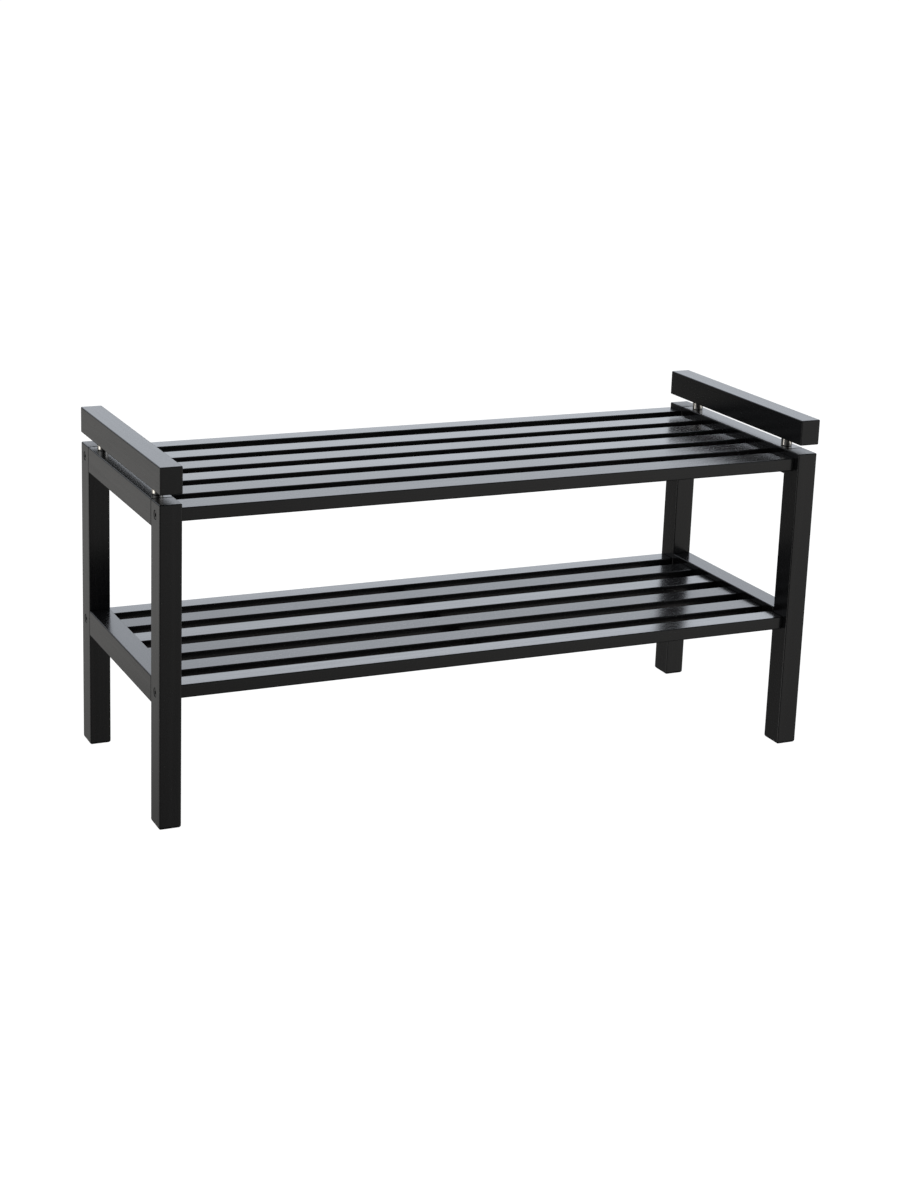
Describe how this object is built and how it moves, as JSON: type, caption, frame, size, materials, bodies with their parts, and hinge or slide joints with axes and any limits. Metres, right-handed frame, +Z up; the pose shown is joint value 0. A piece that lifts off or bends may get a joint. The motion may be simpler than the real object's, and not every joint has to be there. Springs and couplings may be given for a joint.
{
  "type": "entryway bench",
  "caption": "Slatted entryway bench with a slatted shoe shelf below, square legs and a raised handrail bar on round metal spacers at each end.",
  "frame": {"origin": "on the floor under the middle of the bench", "axes": "+X along the bench, to the right as seen from the front; +Y from the front to the rear; +Z up"},
  "size_m": [1, 0.376, 0.5],
  "materials": {
    "black_lacquered_wood": "black lacquer, semi-gloss, grain showing faintly through it",
    "polished_nickel": "polished nickel plating with fine turning marks",
    "black_coated_steel": "satin black coating",
    "zinc_plated_steel": "bright zinc plating",
    "beech_dowel": "bare beech"
  },
  "bodies": {
    "root": {"leg_front_left": "black_lacquered_wood", "leg_front_right": "black_lacquered_wood", "leg_rear_left": "black_lacquered_wood", "leg_rear_right": "black_lacquered_wood", "top_rail_left": "black_lacquered_wood", "top_rail_right": "black_lacquered_wood", "lower_rail_left": "black_lacquered_wood", "lower_rail_right": "black_lacquered_wood", "handrail_left": "black_lacquered_wood", "handrail_right": "black_lacquered_wood", "seat_slat_1": "black_lacquered_wood", "seat_slat_2": "black_lacquered_wood", "seat_slat_3": "black_lacquered_wood", "seat_slat_4": "black_lacquered_wood", "seat_slat_5": "black_lacquered_wood", "seat_slat_6": "black_lacquered_wood", "shelf_slat_1": "black_lacquered_wood", "shelf_slat_2": "black_lacquered_wood", "shelf_slat_3": "black_lacquered_wood", "shelf_slat_4": "black_lacquered_wood", "shelf_slat_5": "black_lacquered_wood", "shelf_slat_6": "black_lacquered_wood", "seat_batten_left": "black_lacquered_wood", "seat_batten_middle": "black_lacquered_wood", "seat_batten_right": "black_lacquered_wood", "shelf_batten_left": "black_lacquered_wood", "shelf_batten_middle": "black_lacquered_wood", "shelf_batten_right": "black_lacquered_wood", "handrail_spacer_front_left": "polished_nickel", "handrail_spacer_front_right": "polished_nickel", "handrail_spacer_rear_left": "polished_nickel", "handrail_spacer_rear_right": "polished_nickel", "handrail_bolt_front_left": "zinc_plated_steel", "handrail_bolt_front_right": "zinc_plated_steel", "handrail_bolt_rear_left": "zinc_plated_steel", "handrail_bolt_rear_right": "zinc_plated_steel", "seat_bolt_front_left": "black_coated_steel", "seat_bolt_front_right": "black_coated_steel", "seat_bolt_rear_left": "black_coated_steel", "seat_bolt_rear_right": "black_coated_steel", "shelf_bolt_front_left": "black_coated_steel", "shelf_bolt_front_right": "black_coated_steel", "shelf_bolt_rear_left": "black_coated_steel", "shelf_bolt_rear_right": "black_coated_steel", "seat_nut_front_left": "zinc_plated_steel", "seat_nut_front_right": "zinc_plated_steel", "seat_nut_rear_left": "zinc_plated_steel", "seat_nut_rear_right": "zinc_plated_steel", "shelf_nut_front_left": "zinc_plated_steel", "shelf_nut_front_right": "zinc_plated_steel", "shelf_nut_rear_left": "zinc_plated_steel", "shelf_nut_rear_right": "zinc_plated_steel", "top_rail_dowel_front_left": "beech_dowel", "top_rail_dowel_front_right": "beech_dowel", "top_rail_dowel_rear_left": "beech_dowel", "top_rail_dowel_rear_right": "beech_dowel", "lower_rail_dowel_front_left": "beech_dowel", "lower_rail_dowel_front_right": "beech_dowel", "lower_rail_dowel_rear_left": "beech_dowel", "lower_rail_dowel_rear_right": "beech_dowel"}
  },
  "joints": []
}
